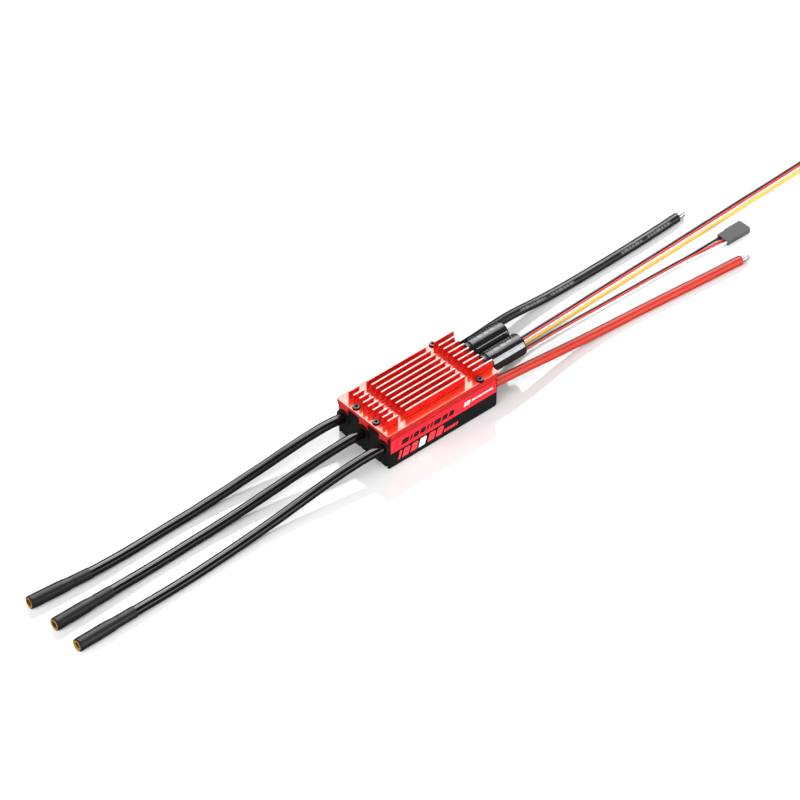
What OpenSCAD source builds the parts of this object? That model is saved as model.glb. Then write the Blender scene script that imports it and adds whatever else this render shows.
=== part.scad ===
// Brushless motor speed controller: a finned aluminium cover on a moulded case, with its boards,
// two capacitors, three motor leads, two battery leads and two flat signal leads.
// X runs along the case from the motor leads to the battery leads, Z is up, and the origin is
// at the middle of the underside of the case.

/* [Heatsink] */
// Length of the heatsink plate
plate_len = 72; // [68:1:78]
// Width of the heatsink plate
plate_w = 38; // [37:0.5:41]
// Height of the plate's upper face above the surface that the case stands on
plate_top = 22; // [22:0.5:25]
// Thickness of the plate's web
web_t = 2.2; // [1.8:0.1:2.4]
// Height of the skirt around the plate, measured down from its upper face
skirt_h = 4; // [3.6:0.1:4.4]
// Height of the fins above the plate
fin_h = 5; // [3:0.5:8]
// Thickness of a fin
fin_t = 0.8; // [0.6:0.1:1.2]
// Distance from fin to fin
fin_pitch = 3.56; // [3:0.02:3.6]

/* [Case] */
// Wall thickness of the case
wall_t = 1.5; // [1.3:0.1:1.8]
// Height of the axis of the five thick leads where they leave the case
port_z = 11.8; // [11:0.1:12.2]
// Distance between neighbouring motor leads
phase_pitch = 14.6; // [13.5:0.1:15]
// Distance of each battery lead from the middle of the case
battery_y = 15.2; // [14.8:0.1:15.4]

/* [Fasteners] */
// Thread diameter of the cover screws
screw_d = 2; // [1.6:0.1:2]
// Head diameter of the cover screws
screw_head_d = 3.8; // [3:0.1:4]
// Length of a cover screw's thread
screw_len = 8; // [7:0.5:8]

/* [Capacitors] */
// Diameter of a capacitor can
can_d = 11.4; // [10:0.1:11.6]
// Length of a capacitor can
can_len = 25; // [20:1:30]
// Height of the capacitors' axes
can_z = 17; // [16.8:0.1:18]
// Distance of each capacitor's axis from the middle of the case
can_y = 6.2; // [6.1:0.1:6.6]

/* [Leads] */
// Diameter of a motor lead over its insulation
phase_d = 5.2; // [4.6:0.1:5.2]
// Diameter of a battery lead over its insulation
battery_d = 5; // [4.6:0.1:5.2]
// Diameter of the stranded copper inside the thick leads
core_d = 3.2; // [2.8:0.1:3.2]
// Diameter of one conductor of the four-way lead
throttle_wire_d = 1.45; // [1.2:0.05:1.5]
// Diameter of one conductor of the three-way lead
program_wire_d = 1.3; // [1.1:0.05:1.4]
// Bore of the bullet sockets on the motor leads
bullet_bore = 4; // [3.5:0.5:4]

/* [Hidden] */
$fn = 48;
e = 0.01;

// Heatsink plate and its three groups of fins
plate_x = plate_len / 2;
plate_y = plate_w / 2;
skirt_t = 1.1;
fin_rows = [-4, -3, -2, -1, 0, 1, 2, 3, 4];
end_fin_x = [-32, -25.5];
middle_fin_x = [-20.5, 17.8];
far_fin_x = [23.2, 33.3];
capacitor_notch_w = 25.2;
pedestal = [38, 29, 3.3];
tab_w = 6.5;
tab_t = 0.8;
tab_bottom = 14.2;
lip_t = 1.7;

// Case, from the end wall under the lip to the far end with its rounded foot
case_x0 = -plate_x + 0.9;
case_x1 = plate_x - 0.2;
case_y = plate_y - 0.2;
case_top = plate_top - skirt_h - 0.3;
rim_top = plate_top - web_t;
lip_z = plate_top - lip_t;
foot_r = 3.5;
edge_r = 0.8;
gap = 0.1;
recess_depth = 1;
rim_t = 1.2;
pillar_w = 7.6;
pillar_t = 3.6;
label_t = 0.18;
label_z = 9.6;
phase_ys = [phase_pitch, 0, -phase_pitch];
battery_ys = [battery_y, -battery_y];
collar_d = 8.4;
collar_len = 0.9;
grommet_t = 0.45;
lead_slot_z = [6.8, 9.4];
lead_slots_y = [[2.6, 9.2], [-4, 0.8]];
grip = [1, 1.6, 2.4];
grip_y = 2.2;

// Screws: one pair in the pillars of the end wall and one pair by the long sides
screw_places = [[-33.35, 7.3], [-33.35, -7.3], [25.05, 17.3], [25.05, -17.3]];
head_h = 2;
hex_depth = 1.1;
hex_d = 1.75;
seat_depth = 1;
seat_z = plate_top - seat_depth;
boss_r = 2;
inset_y = plate_y - skirt_t - gap;

// Boards
power_z = port_z + core_d / 2;
board_t = 1.6;
power_top = power_z + board_t;
power_x = [-28.8, 29];
power_y = 16.4;
wire_start = 29.5;
core_len = 5.5;
control_z = 5.9;
control_t = 1.2;
control_top = control_z + control_t;
control_x = [-20, 31];
fet = [5.2, 6.2, 1];
fet_pitch = [6.3, 9];
pad_t = plate_top - web_t - pedestal.z - power_top - fet.z;
chip_t = 0.9;
header_x = [-17, 21];
header_y = -8;
header_pin = 0.64;

// Capacitors
can_x = 36.2;
can_ys = [can_y, -can_y];
sleeve_t = 0.2;
groove = 0.45;
groove_x = [1.6, 2, 2.6, 3];
end_ring = 0.9;
can_pin_d = 0.8;
can_pin_y = 2.5;
can_pin_z = power_top + can_pin_d / 2;

// Bullet sockets: where each tip lies and how far each points away from straight back
tips = [[-224, 21, 3.3], [-224, 1.8, 3.3], [-224.5, -15.9, 3.3]];
headings = [5, 0, 0];
socket_len = 14;
socket_bore_len = 9.5;
shrink_start = 0.8;
shrink_end = 34;
shrink_d = 6.6;
shrink_neck_d = 6;

function behind_tip(i, s) = tips[i] + s * [cos(headings[i]), -sin(headings[i]), 0];

// Route of each motor lead, from its inner end to its bullet socket
phase_routes = [
    concat([[-wire_start, phase_pitch, port_z], [-36, phase_pitch, port_z],
        [-46, 15.8, 11.5], [-58, 16.5, 10.4],
        [-70, 17, 8.9], [-82, 17.4, 7.2], [-94, 17.9, 5.7], [-106, 18.2, 4.4],
        [-118, 18.4, 3.5], [-130, 18.4, 2.9], [-142, 18.4, 2.7], [-154, 18.2, 2.6],
        [-166, 17.9, 2.7], [-178, 17.8, 3]],
        [behind_tip(0, 34), behind_tip(0, 24), behind_tip(0, socket_len)]),
    concat([[-wire_start, 0, port_z], [-36, 0, port_z], [-46, 0.6, 11.5], [-58, 1.2, 10.4],
        [-70, 1.7, 8.9], [-82, 2.2, 7.2], [-94, 2.6, 5.7], [-106, 2.9, 4.4],
        [-118, 3, 3.5], [-130, 3, 2.9], [-142, 2.9, 2.7], [-154, 2.6, 2.6],
        [-166, 2.3, 2.7], [-178, 2, 3]],
        [behind_tip(1, 34), behind_tip(1, 24), behind_tip(1, socket_len)]),
    concat([[-wire_start, -phase_pitch, port_z], [-36, -phase_pitch, port_z],
        [-46, -14, 11.5], [-58, -13.5, 10.4],
        [-70, -13.2, 8.9], [-82, -13.1, 7.2], [-94, -13.2, 5.7], [-106, -13.3, 4.4],
        [-118, -13.6, 3.5], [-130, -14, 2.9], [-142, -14.5, 2.7], [-154, -15, 2.6],
        [-166, -15.4, 2.7], [-178, -15.7, 3]],
        [behind_tip(2, 34), behind_tip(2, 24), behind_tip(2, socket_len)])
];

// Route of each battery lead, from its inner end to where its insulation stops
negative_route = [[wire_start, battery_y, port_z], [37, battery_y, port_z],
    [46, 16, 11.3], [58, 17.8, 9.8], [70, 20.1, 7.9], [82, 21.9, 6], [94, 22.5, 4.4], [106, 22.7, 3.3],
    [118, 22.9, 2.7], [130, 23, 2.5], [142, 23.1, 2.5], [154, 23.3, 2.5], [166, 23.6, 2.5], [178, 24, 2.5],
    [189.5, 24.5, 2.5], [201.5, 25.2, 2.5]];
positive_route = [[wire_start, -battery_y, port_z], [37, -battery_y, port_z],
    [46, -15.5, 11.3], [58, -15.3, 9.8], [70, -14.8, 7.9], [82, -14.3, 6], [94, -14, 4.4], [106, -14, 3.3],
    [118, -14.4, 2.7], [130, -15.1, 2.5], [142, -16, 2.5], [154, -17, 2.5], [166, -18, 2.5], [178, -19, 2.5],
    [190, -19.9, 2.5], [202, -20.9, 2.5]];
tinned_len = 4.5;
tinned_d = 3.5;

// Route of the four-way lead
throttle_route = [[26, 5.9, 7.9], [36, 5.9, 7.9], [45, 6.1, 7.1], [54, 6.4, 4.7], [63, 6.8, 2.3],
    [73, 7.4, 1], [84, 7.9, 0.75], [98, 8.3, 0.75], [112, 8.7, 0.75], [126, 9.2, 0.75], [140, 9.6, 0.75],
    [154, 10, 0.75], [168, 10.4, 0.75], [182, 10.8, 0.75], [196, 11.3, 0.75], [210, 11.8, 0.75],
    [224, 12.2, 0.75], [238, 12.7, 0.75], [252, 13.1, 0.75], [266, 13.6, 0.75], [280, 14.1, 0.75],
    [294, 14.6, 0.8], [306, 15, 1.1], [316, 15.2, 1.35], [322, 15.2, 1.35]];
throttle_ways = 4;
// Route of the three-way lead
program_route = [[26, -1.6, 7.8], [36, -1.6, 7.8], [45, -1.2, 6.9], [54, -0.4, 4.7], [64, 0.8, 2.2],
    [76, 1.7, 0.9], [88, 1.8, 0.7], [100, 1.6, 0.7], [112, 1.3, 0.7], [124, 0.9, 0.7], [136, 0.6, 0.7],
    [148, 0.3, 0.7], [160, 0, 0.7], [172, -0.4, 0.7], [182, -0.9, 0.75], [191, -1.5, 0.9], [199, -2.2, 1.2],
    [205, -2.6, 1.35], [209, -2.6, 1.35]];
program_ways = 3;

// Plugs: pin pitch, body and the recess that the lead enters
pin_pitch = 2.54;
plug_t = 2.7;
plug_len = 16.5;
plug_wall = 0.15;
shoulder = 0.55;
shoulder_x = 5.2;
plug_recess = 2;
pin_hole = 0.9;
contact = [8, 1.5, 1.5];
program_plug_x = 207;
throttle_plug_x = 320;

// ---- Shared shapes ----

// Corner points of a quarter circle, from angle a to a + 90
function arc(centre, r, a, steps = 6) =
    [for (i = [0:steps]) centre + r * [cos(a + 90 * i / steps), sin(a + 90 * i / steps)]];

// Outline of a rectangle from p to q whose corners are rounded with the radii r, anticlockwise
// from the lower left one
function rounded(p, q, r) = concat(
    arc([p.x + r[0], p.y + r[0]], r[0], 180), arc([q.x - r[1], p.y + r[1]], r[1], 270),
    arc([q.x - r[2], q.y - r[2]], r[2], 0), arc([p.x + r[3], q.y - r[3]], r[3], 90));

module block(p, q) translate(p) cube(q - p);

// A rod along X from x0 to x1
module rod_x(x0, x1, y, z, d) translate([x0, y, z]) rotate([0, 90, 0]) cylinder(h = x1 - x0, d = d);

module at_screws() for (p = screw_places) translate([p.x, p.y, 0]) children();

// Unit vectors of a route: along it, to its left and up from it
function unit(v) = v / norm(v);
function ahead(route, i) = unit(route[min(i + 1, len(route) - 1)] - route[max(i - 1, 0)]);
function leftward(t) = unit(cross([0, 0, 1], t));

// A section's points set square to the route at its point i
function ring(route, i, section) =
    let (t = ahead(route, i), l = leftward(t), u = cross(t, l))
    [for (s = section) route[i] + s.x * l + s.y * u];

module sweep(route, section) {
    m = len(section);
    n = len(route);
    points = [for (i = [0:n - 1]) each ring(route, i, section)];
    sides = [for (i = [0:n - 2], j = [0:m - 1])
        let (a = i * m + j, b = i * m + (j + 1) % m) each [[a, b, a + m], [b, b + m, a + m]]];
    ends = [[for (j = [m - 1:-1:0]) j], [for (j = [0:m - 1]) (n - 1) * m + j]];
    polyhedron(points, concat(sides, ends), convexity = 4);
}

function round_section(d, sides) =
    [for (j = [0:sides - 1]) d / 2 * [cos(360 * j / sides), -sin(360 * j / sides)]];

// Section of a flat lead: its conductors side by side, with bevelled edges
function flat_section(ways, d) =
    let (w = ways * d / 2, h = d / 2, c = d * 0.3)
    [[w, h - c], [w, c - h], [w - c, -h], [c - w, -h], [-w, c - h], [-w, h - c], [c - w, h],
        [w - c, h]];

// ---- Case, cover and what holds them ----

module case_outline() {
    intersection() {
        translate([0, case_y, 0]) rotate([90, 0, 0]) linear_extrude(2 * case_y)
            polygon(rounded([case_x0, 0], [case_x1, case_top], [edge_r, foot_r, e, e]));
        rotate([90, 0, 90]) translate([0, 0, case_x0]) linear_extrude(case_x1 - case_x0)
            polygon(rounded([-case_y, 0], [case_y, case_top], [edge_r, edge_r, e, e]));
        linear_extrude(case_top)
            polygon(rounded([case_x0, -case_y], [case_x1, case_y], [edge_r, 1.2, 1.2, edge_r]));
    }
}

// Inner rim that locates the cover
module case_rim() {
    inset = skirt_t + gap;
    difference() {
        block([case_x0 + inset, inset - plate_y, case_top - e],
            [case_x1 - inset, plate_y - inset, rim_top]);
        block([case_x0 + inset + rim_t, inset + rim_t - plate_y, 0],
            [case_x1 - inset - rim_t, plate_y - inset - rim_t, plate_top]);
    }
}

// Thickened column around each screw, from the floor of the case to the cover
module screw_bosses() {
    for (p = screw_places)
        if (p.x < 0) block([case_x0, p.y - pillar_w / 2, wall_t],
            [case_x0 + pillar_t, p.y + pillar_w / 2, lip_z]);
        else intersection() {
            translate([p.x, p.y, wall_t]) cylinder(h = rim_top - wall_t, r = boss_r);
            block([p.x - boss_r, -inset_y, 0], [p.x + boss_r, inset_y, plate_top]);
        }
}

// Posts that close the cover's skirt at the motor end
module corner_posts() {
    inner_y = max(inset_y, phase_pitch + tab_w / 2 + gap);
    for (side = [-1, 1])
        block([case_x0, min(side * inner_y, side * case_y), case_top - e],
            [case_x0 + recess_depth, max(side * inner_y, side * case_y), lip_z]);
}

// Wall that fills the cover's notch behind the capacitors
module capacitor_wall()
    block([far_fin_x[1] + 2 * gap, gap - capacitor_notch_w / 2, wall_t],
        [case_x1, capacitor_notch_w / 2 - gap, rim_top]);

module lower_case() color([0.09, 0.09, 0.1]) difference() {
    union() {
        difference() {
            case_outline();
            block([case_x0 + wall_t, wall_t - case_y, wall_t],
                [case_x1 - wall_t, case_y - wall_t, plate_top]);
            // recesses for the tabs of the cover
            for (y = phase_ys)
                block([case_x0 - 1, y - tab_w / 2 - gap, tab_bottom - gap],
                    [case_x0 + recess_depth, y + tab_w / 2 + gap, plate_top]);
        }
        case_rim();
        screw_bosses();
        corner_posts();
        capacitor_wall();
        for (y = phase_ys) rod_x(case_x0 - collar_len, case_x0 + wall_t, y, port_z, collar_d);
    }
    for (y = phase_ys)
        rod_x(case_x0 - 2, case_x0 + wall_t + 1, y, port_z, phase_d + 2 * grommet_t);
    for (y = battery_ys) {
        rod_x(case_x1 - wall_t - 1, case_x1 + 1, y, port_z, battery_d + 2 * grommet_t);
        // room for the lead along the side wall, and for its stripped end past the screw's column
        rod_x(wire_start - gap, case_x1, y, port_z, battery_d + 2 * gap);
        rod_x(wire_start - core_len - gap, wire_start, y, port_z, core_d + 2 * gap);
    }
    // slots for the two flat leads
    for (y = lead_slots_y)
        block([far_fin_x[1] - 1, y[0], lead_slot_z[0]], [case_x1 + 1, y[1], lead_slot_z[1]]);
    at_can_pins() rod_x(far_fin_x[1] - 1, case_x1 + 1, 0, 0, can_pin_d + 0.2);
    // threaded holes
    at_screws() translate([0, 0, seat_z - screw_len - 0.5])
        cylinder(h = screw_len + 2, d = screw_d);
    // grip notches under the motor leads
    for (y = phase_ys, side = [-1, 1])
        translate([case_x0, y + side * grip_y, 0]) cube([2, grip.y, 2 * grip.z], center = true);
}

module fin_group(span, rows) {
    for (k = rows)
        block([span[0], k * fin_pitch - fin_t / 2, plate_top - e],
            [span[1], k * fin_pitch + fin_t / 2, plate_top + fin_h]);
}

// Tabs over the motor leads, each cut round the collar below it
module cover_tabs() difference() {
    for (y = phase_ys)
        block([case_x0, y - tab_w / 2, tab_bottom], [case_x0 + tab_t, y + tab_w / 2, plate_top - e]);
    for (y = phase_ys) rod_x(case_x0 - 1, case_x0 + 2, y, port_z, collar_d + 0.8);
}

module heatsink() color([0.85, 0.05, 0.07]) difference() {
    union() {
        difference() {
            translate([0, 0, plate_top - skirt_h]) linear_extrude(skirt_h)
                polygon(rounded([-plate_x, -plate_y], [plate_x, plate_y], [1, 1, 1, 1]));
            block([case_x0 + recess_depth, skirt_t - plate_y, 0],
                [plate_x - skirt_t, plate_y - skirt_t, rim_top]);
            // the motor end is open below its lip, which rests on the pillars of the case
            block([-plate_x - 1, skirt_t - plate_y, 0],
                [case_x0 + pillar_t + gap, plate_y - skirt_t, lip_z]);
            block([-plate_x - 1, -plate_y - 1, 0],
                [case_x0 + recess_depth + gap, plate_y + 1, lip_z]);
        }
        cover_tabs();
        // pedestal that presses on the transistors
        block([-pedestal.x / 2, -pedestal.y / 2, rim_top - pedestal.z],
            [pedestal.x / 2, pedestal.y / 2, rim_top + e]);
        fin_group(end_fin_x, fin_rows);
        fin_group(middle_fin_x, fin_rows);
        fin_group(far_fin_x, fin_rows);
        fin_group([far_fin_x[1] - e, plate_x], [-4, 4]);
    }
    // notch for the capacitors
    block([far_fin_x[1] + gap, -capacitor_notch_w / 2, 0],
        [plate_x + 1, capacitor_notch_w / 2, plate_top + 1]);
    at_screws() {
        translate([0, 0, case_top]) cylinder(h = skirt_h + 1, d = screw_d + 0.4);
        translate([0, 0, seat_z]) cylinder(h = fin_h + 2, d = screw_head_d + 0.5);
    }
}

module cover_screws() color([0.1, 0.1, 0.11]) at_screws() difference() {
    union() {
        translate([0, 0, seat_z]) cylinder(h = head_h, d = screw_head_d);
        translate([0, 0, seat_z - screw_len]) cylinder(h = screw_len + e, d = screw_d);
    }
    translate([0, 0, seat_z + head_h - hex_depth]) cylinder(h = 2, d = hex_d, $fn = 6);
}

// Thin printed label on one long side; side is -1 at the front and 1 at the back
module side_label(side)
    translate([0, side * (case_y + label_t / 2) + label_t / 2, 0]) rotate([90, 0, 0])
        linear_extrude(label_t) polygon(rounded([case_x0 + 1, label_z],
            [case_x1 - 1.3, case_top - gap], [0.2, 0.5, 1.2, 0.2]));
module front_label() color([0.9, 0.1, 0.14]) side_label(-1);
module back_label() color([0.9, 0.1, 0.14]) side_label(1);

module thermal_pad() color([0.6, 0.62, 0.66])
    block([-pedestal.x / 2, -pedestal.y / 2, power_top + fet.z],
        [pedestal.x / 2, pedestal.y / 2, power_top + fet.z + pad_t]);

// Split rubber ring in each port, around its lead
module port_ring(x0, x1, y, d) difference() {
    rod_x(x0, x1, y, port_z, d + 2 * grommet_t);
    rod_x(x0 - 1, x1 + 1, y, port_z, d);
}
module port_grommets() color([0.06, 0.06, 0.06]) {
    for (y = phase_ys) port_ring(case_x0 - collar_len + 0.4, case_x0 + wall_t, y, phase_d);
    for (y = battery_ys) port_ring(case_x1 - wall_t, case_x1 + 0.3, y, battery_d);
}

// ---- Boards ----

module power_board() color([0.07, 0.22, 0.12]) difference() {
    block([power_x[0], -power_y, power_z], [power_x[1], power_y, power_top]);
    at_screws() translate([0, 0, power_z - 1]) cylinder(h = board_t + 2, r = boss_r + 0.4);
}

module mosfets() color([0.13, 0.13, 0.14])
    for (i = [-2.5:2.5], j = [-1:1])
        translate([i * fet_pitch.x, j * fet_pitch.y, power_top + fet.z / 2])
            cube(fet, center = true);

// A part of the given size that stands on a board, centred on p
module on_board(p, size) translate([p.x, p.y, p.z + size.z / 2]) cube(size, center = true);

module current_shunts() color([0.7, 0.68, 0.62])
    for (y = [-12, 12]) on_board([25.2, y, power_top], [6, 3.2, 0.8]);

module ceramic_capacitors() color([0.72, 0.6, 0.42])
    for (i = [0:3], side = [-1, 1])
        on_board([20.6 + 1.4 * i, 5 * side, power_top], [1, 3, 1.2]);

module control_board() color([0.07, 0.22, 0.12])
    block([control_x[0], -13.8, control_z], [control_x[1], 13.8, control_top]);

// Pin rows that join the two boards
module board_headers() color([0.78, 0.66, 0.3])
    for (x = header_x, i = [-2:2])
        on_board([x, i * pin_pitch + header_y, control_top],
            [header_pin, header_pin, power_z - control_top]);

module microcontroller() color([0.1, 0.1, 0.11])
    on_board([-7.5, 0, control_top], [7, 7, chip_t]);

module gate_drivers() color([0.1, 0.1, 0.11])
    for (y = [-9, 0, 9]) on_board([4, y, control_top], [4, 4, chip_t]);

module regulator_coil() color([0.25, 0.25, 0.27])
    difference() {
        on_board([15, 8.5, control_top], [8, 8, 4]);
        translate([15, 8.5, control_top + 3.6]) cylinder(h = 1, d = 5);
    }

// ---- Capacitors ----

// Lengthwise outline of a can's side with its groove, r is its radius and x1 its far end
function can_side(r, x0, x1) = [[r, x0], [r, groove_x[0]], [r - groove, groove_x[1]],
    [r - groove, groove_x[2]], [r, groove_x[3]], [r, x1]];

// Children are drawn along +X from the near end of can i
module at_can(i) translate([can_x, can_ys[i], can_z]) rotate([0, 90, 0]) children();

// Places where the capacitors' connecting wires run
module at_can_pins()
    for (y = can_ys, side = [-1, 1]) translate([0, y + side * can_pin_y, can_pin_z]) children();

module capacitor_can(i) at_can(i) difference() {
    rotate_extrude() polygon(concat([[0, 0]], can_side(can_d / 2, 0, can_len), [[0, can_len]]));
    // crossed relief grooves on the end of the can
    for (a = [45, 135]) rotate([0, 0, a])
        block([-3, -0.15, can_len - 0.12], [3, 0.15, can_len + 1]);
}

// Plastic sleeve, turned in a little over both ends of its can
module capacitor_sleeve(i) at_can(i) rotate_extrude()
    let (r = can_d / 2, inner = can_side(r, 0, can_len))
    polygon(concat([[r - end_ring, -sleeve_t]], can_side(r + sleeve_t, -sleeve_t, can_len + sleeve_t),
        [[r - end_ring, can_len + sleeve_t], [r - end_ring, can_len]],
        [for (k = [len(inner) - 1:-1:0]) inner[k]], [[r - end_ring, 0]]));

module capacitor_1() color([0.75, 0.76, 0.78]) capacitor_can(0);
module capacitor_2() color([0.75, 0.76, 0.78]) capacitor_can(1);
module capacitor_sleeve_1() color([0.08, 0.08, 0.09]) capacitor_sleeve(0);
module capacitor_sleeve_2() color([0.08, 0.08, 0.09]) capacitor_sleeve(1);

// Two straight wires from each can onto the upper face of the power board
module capacitor_leads() color([0.8, 0.8, 0.82])
    for (i = [0, 1], side = [-1, 1])
        rod_x(power_x[1] - 2, can_x, can_ys[i] + side * can_pin_y, can_pin_z, can_pin_d);

// ---- Motor leads ----

module phase_wire(i) sweep(phase_routes[i], round_section(phase_d, 12));
module phase_wire_1() color([0.05, 0.05, 0.05]) phase_wire(0);
module phase_wire_2() color([0.05, 0.05, 0.05]) phase_wire(1);
module phase_wire_3() color([0.05, 0.05, 0.05]) phase_wire(2);

module phase_wire_cores() color([0.82, 0.8, 0.76])
    for (y = phase_ys) rod_x(-wire_start, core_len - wire_start, y, port_z, core_d);

// Children are drawn along +X, starting at the mouth of bullet socket i
module at_tip(i) translate(tips[i]) rotate([0, 0, -headings[i]]) rotate([0, 90, 0]) children();

module bullet_socket(i) at_tip(i) difference() {
    cylinder(h = socket_len, d = phase_d);
    translate([0, 0, -1]) cylinder(h = socket_bore_len + 1, d = bullet_bore);
}
module bullet_socket_1() color([0.85, 0.62, 0.22]) bullet_socket(0);
module bullet_socket_2() color([0.85, 0.62, 0.22]) bullet_socket(1);
module bullet_socket_3() color([0.85, 0.62, 0.22]) bullet_socket(2);

module heat_shrink(i) at_tip(i) rotate_extrude() polygon([[phase_d / 2, shrink_start],
    [shrink_d / 2, shrink_start], [shrink_d / 2, 22], [shrink_neck_d / 2, 26],
    [shrink_neck_d / 2, shrink_end], [phase_d / 2, shrink_end]]);
module heat_shrink_1() color([0.12, 0.12, 0.13]) heat_shrink(0);
module heat_shrink_2() color([0.12, 0.12, 0.13]) heat_shrink(1);
module heat_shrink_3() color([0.12, 0.12, 0.13]) heat_shrink(2);

// ---- Battery leads ----

module battery_wire_negative() color([0.12, 0.12, 0.12])
    sweep(negative_route, round_section(battery_d, 12));
module battery_wire_positive() color([0.85, 0.2, 0.14])
    sweep(positive_route, round_section(battery_d, 12));
module battery_wire_cores() color([0.82, 0.8, 0.76])
    for (y = battery_ys) rod_x(wire_start - core_len, wire_start, y, port_z, core_d);

// Bare, tinned copper beyond the last point of a battery lead
module tinned_end(route) {
    n = len(route) - 1;
    along = ahead(route, n);
    translate(route[n]) rotate([0, 0, atan2(along.y, along.x)]) rotate([0, 90, 0])
        cylinder(h = tinned_len, d = tinned_d);
}
module tinned_end_negative() color([0.82, 0.82, 0.84]) tinned_end(negative_route);
module tinned_end_positive() color([0.82, 0.82, 0.84]) tinned_end(positive_route);

// ---- Signal leads ----

// Plug with its recess at x0; ways is its number of pins
module plug(x0, y, ways) {
    w = ways * pin_pitch + 2 * plug_wall;
    translate([x0, y, 0]) difference() {
        union() {
            linear_extrude(plug_t) polygon(rounded([0, -w / 2], [plug_len, w / 2],
                [0.2, 1.4, 0.3, 0.2]));
            linear_extrude(plug_t) polygon(rounded([shoulder_x, 0], [plug_len, w / 2 + shoulder],
                [0.2, 0.2, 0.5, 0.3]));
        }
        block([-1, -w / 2 + 0.5, 0.5], [plug_recess, w / 2 - 0.5, plug_t - 0.5]);
        for (k = [0:ways - 1]) {
            c = (k - (ways - 1) / 2) * pin_pitch;
            block([plug_recess - e, c - contact.y / 2, plug_t / 2 - contact.z / 2],
                [plug_len - 1.5, c + contact.y / 2, plug_t / 2 + contact.z / 2]);
            block([plug_len - 2, c - pin_hole / 2, plug_t / 2 - pin_hole / 2],
                [plug_len + 1, c + pin_hole / 2, plug_t / 2 + pin_hole / 2]);
        }
    }
}

// Crimped spring contacts, each open towards the mouth of the plug
module contacts(x0, y, ways)
    for (k = [0:ways - 1]) translate([x0 + plug_len - 1.5 - contact.x,
        y + (k - (ways - 1) / 2) * pin_pitch, plug_t / 2]) difference() {
            block([0, -contact.y / 2, -contact.z / 2], [contact.x, contact.y / 2, contact.z / 2]);
            block([3, -pin_hole / 2, -pin_hole / 2], [contact.x + 1, pin_hole / 2, pin_hole / 2]);
        }

module throttle_lead() color([0.75, 0.1, 0.1])
    sweep(throttle_route, flat_section(throttle_ways, throttle_wire_d));
module throttle_plug() color([0.2, 0.2, 0.21]) plug(throttle_plug_x, 15.2, throttle_ways);
module throttle_contacts() color([0.8, 0.68, 0.35]) contacts(throttle_plug_x, 15.2, throttle_ways);

module program_lead() color([0.75, 0.1, 0.1])
    sweep(program_route, flat_section(program_ways, program_wire_d));
module program_plug() color([0.2, 0.2, 0.21]) plug(program_plug_x, -2.6, program_ways);
module program_contacts() color([0.8, 0.68, 0.35]) contacts(program_plug_x, -2.6, program_ways);

lower_case();
heatsink();
cover_screws();
front_label();
back_label();
thermal_pad();
power_board();
mosfets();
current_shunts();
ceramic_capacitors();
control_board();
board_headers();
microcontroller();
gate_drivers();
regulator_coil();
port_grommets();
capacitor_1();
capacitor_2();
capacitor_sleeve_1();
capacitor_sleeve_2();
capacitor_leads();
phase_wire_1();
phase_wire_2();
phase_wire_3();
phase_wire_cores();
bullet_socket_1();
bullet_socket_2();
bullet_socket_3();
heat_shrink_1();
heat_shrink_2();
heat_shrink_3();
battery_wire_negative();
battery_wire_positive();
battery_wire_cores();
tinned_end_negative();
tinned_end_positive();
throttle_lead();
throttle_plug();
throttle_contacts();
program_lead();
program_plug();
program_contacts();
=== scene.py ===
"""The looks of a brushless motor speed controller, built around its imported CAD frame.

Every length is in metres in the frame of the CAD model: +X runs from the motor leads to the
battery leads, +Z is up, and the case stands on z = 0.
"""

import math

import bmesh
import bpy
from mathutils import Matrix, Vector, noise


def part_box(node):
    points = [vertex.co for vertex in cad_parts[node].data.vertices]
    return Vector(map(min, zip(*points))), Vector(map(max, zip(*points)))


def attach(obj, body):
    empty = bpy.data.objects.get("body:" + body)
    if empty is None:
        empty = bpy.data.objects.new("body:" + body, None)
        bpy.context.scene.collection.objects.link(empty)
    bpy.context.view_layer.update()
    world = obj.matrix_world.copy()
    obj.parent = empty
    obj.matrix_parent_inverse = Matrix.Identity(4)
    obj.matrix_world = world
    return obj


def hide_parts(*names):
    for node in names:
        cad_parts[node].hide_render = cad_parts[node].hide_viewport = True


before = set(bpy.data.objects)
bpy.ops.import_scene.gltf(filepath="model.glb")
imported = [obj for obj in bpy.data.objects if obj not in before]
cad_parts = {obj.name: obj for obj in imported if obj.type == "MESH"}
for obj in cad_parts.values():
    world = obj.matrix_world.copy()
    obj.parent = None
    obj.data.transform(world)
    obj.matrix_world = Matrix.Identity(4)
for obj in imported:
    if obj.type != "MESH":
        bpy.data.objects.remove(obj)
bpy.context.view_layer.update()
MM = 0.001
UP = Vector((0, 0, 1))


# ---- Camera ----

CAMERA_AZIMUTH = -41.384
CAMERA_ELEVATION = 41.88
CAMERA_DISTANCE = 2.1
CAMERA_TARGET = Vector((-5.03, 7.38, 10)) * MM
CAMERA_LENS = 193.23
CAMERA_SENSOR = 36


def make_camera():
    data = bpy.data.cameras.new("camera")
    data.lens = CAMERA_LENS
    data.sensor_width = CAMERA_SENSOR
    data.clip_end = 50
    camera = bpy.data.objects.new("camera", data)
    bpy.context.scene.collection.objects.link(camera)
    camera.rotation_euler = (math.radians(90 - CAMERA_ELEVATION), 0, math.radians(CAMERA_AZIMUTH))
    backward = camera.rotation_euler.to_matrix() @ UP
    camera.location = CAMERA_TARGET + CAMERA_DISTANCE * backward
    bpy.context.scene.camera = camera


make_camera()


# ---- Mesh helpers ----


def in_mm(points):
    """Points given in millimetres, as vectors in metres."""
    return [Vector(p) * MM for p in points]


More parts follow.
